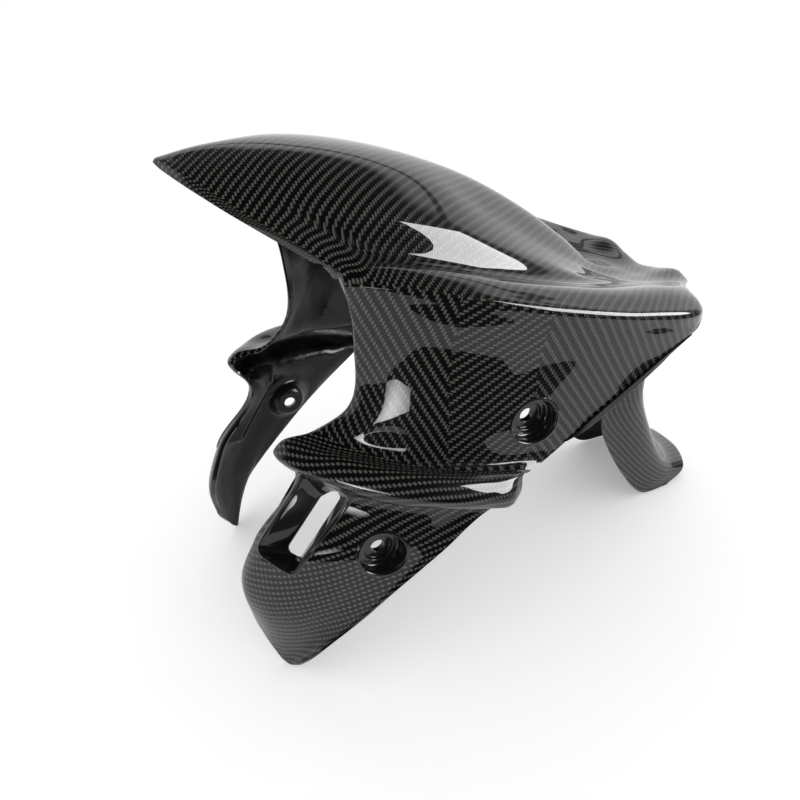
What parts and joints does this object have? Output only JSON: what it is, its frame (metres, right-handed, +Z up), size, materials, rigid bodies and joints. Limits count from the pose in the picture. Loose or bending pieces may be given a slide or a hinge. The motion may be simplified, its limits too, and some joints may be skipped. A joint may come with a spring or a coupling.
{
  "type": "motorcycle front fender",
  "caption": "One-piece moulded motorcycle front fender: beaked crown, wide shoulders, side panels with recessed bolt holes, slotted legs and a tail behind the wheel.",
  "frame": {"origin": "middle of the outline on the floor, with the fender standing on its two leg tips and the foot of its tail", "axes": "+X rearward, -Y the near side of the picture, +Y the far side, +Z up"},
  "size_m": [0.4695, 0.2772, 0.3614],
  "materials": {
    "laminate": "gloss clear coat over a 2x2 twill weave"
  },
  "bodies": {
    "root": {"fender": "laminate"}
  },
  "joints": []
}
